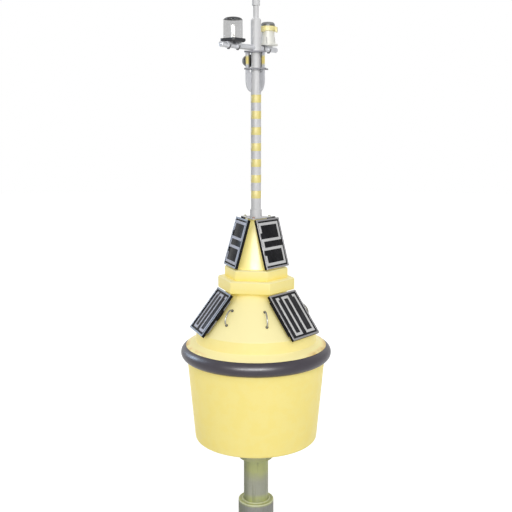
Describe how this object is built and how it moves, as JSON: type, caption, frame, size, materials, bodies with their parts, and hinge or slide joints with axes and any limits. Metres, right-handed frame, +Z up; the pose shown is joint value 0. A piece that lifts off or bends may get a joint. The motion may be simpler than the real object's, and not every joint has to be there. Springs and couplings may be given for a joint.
{
  "type": "navigation buoy",
  "caption": "Moored marker buoy: tapered round float with fender and tail tube, cone tower with solar panels, tall mast carrying a lantern and an instrument on a crossarm.",
  "frame": {"origin": "on the mast's axis at the waterline", "axes": "+Z up along the mast; -Y towards the open side of the tower between two panels"},
  "size_m": [1.9008, 1.9008, 7.328],
  "materials": {
    "hull_yellow": "moulded polyethylene, satin",
    "fender_rubber": "smooth dark rubber, slightly glossy",
    "mast_grey": "light grey paint, satin",
    "band_yellow": "yellow reflective tape",
    "frame_metal": "dark anodised, satin",
    "panel_black": "black solar laminate with a silver busbar, glossy",
    "handle_steel": "bent rod, satin",
    "arm_grey": "anodised tube, satin",
    "dark_plastic": "black moulded plastic",
    "lantern_glass": "clear grey lens",
    "lamp_white": "white lamp column",
    "sensor_white": "off-white moulded housing",
    "sensor_ring": "yellow moulded ring",
    "dome_grey": "grey domed window",
    "tail_steel": "grey paint with green growth",
    "cast_iron": "coated casting with green growth"
  },
  "bodies": {
    "root": {"hull_drum": "hull_yellow", "deck_cover": "hull_yellow", "collar_hex_wide": "hull_yellow", "collar_hex_narrow": "hull_yellow", "tower_cone": "hull_yellow", "fender_ring": "fender_rubber", "mast_base_plate": "mast_grey", "mast_sleeve": "mast_grey", "mast_tube": "mast_grey", "cage_plate_low": "mast_grey", "cage_plate_high": "mast_grey", "cage_rib_1": "mast_grey", "cage_rib_2": "mast_grey", "cage_rib_3": "mast_grey", "antenna_neck": "mast_grey", "antenna_body": "mast_grey", "mast_band_1": "band_yellow", "mast_band_2": "band_yellow", "mast_band_3": "band_yellow", "mast_band_4": "band_yellow", "mast_band_5": "band_yellow", "mast_band_6": "band_yellow", "mast_band_7": "band_yellow", "solar_frame_low_1": "frame_metal", "solar_glass_low_1": "panel_black", "solar_frame_low_2": "frame_metal", "solar_glass_low_2": "panel_black", "solar_frame_low_3": "frame_metal", "solar_glass_low_3": "panel_black", "solar_frame_high_1": "frame_metal", "solar_glass_high_1": "panel_black", "solar_frame_high_2": "frame_metal", "solar_glass_high_2": "panel_black", "solar_frame_high_3": "frame_metal", "solar_glass_high_3": "panel_black", "handle_1": "handle_steel", "handle_2": "handle_steel", "handle_3": "handle_steel", "handle_4": "handle_steel", "handle_5": "handle_steel", "handle_6": "handle_steel", "crossarm": "arm_grey", "arm_clamp_1": "arm_grey", "arm_clamp_2": "arm_grey", "arm_clamp_3": "arm_grey", "arm_clamp_4": "arm_grey", "lantern_base": "dark_plastic", "lantern_cap": "dark_plastic", "guard_sensor_body": "dark_plastic", "lantern_glass": "lantern_glass", "lantern_lamp": "lamp_white", "sensor_body": "sensor_white", "sensor_ring": "sensor_ring", "sensor_dome": "dome_grey", "guard_sensor_dome": "dome_grey", "tail_tube": "tail_steel", "ballast_weight": "cast_iron", "mooring_eye": "cast_iron"}
  },
  "joints": []
}
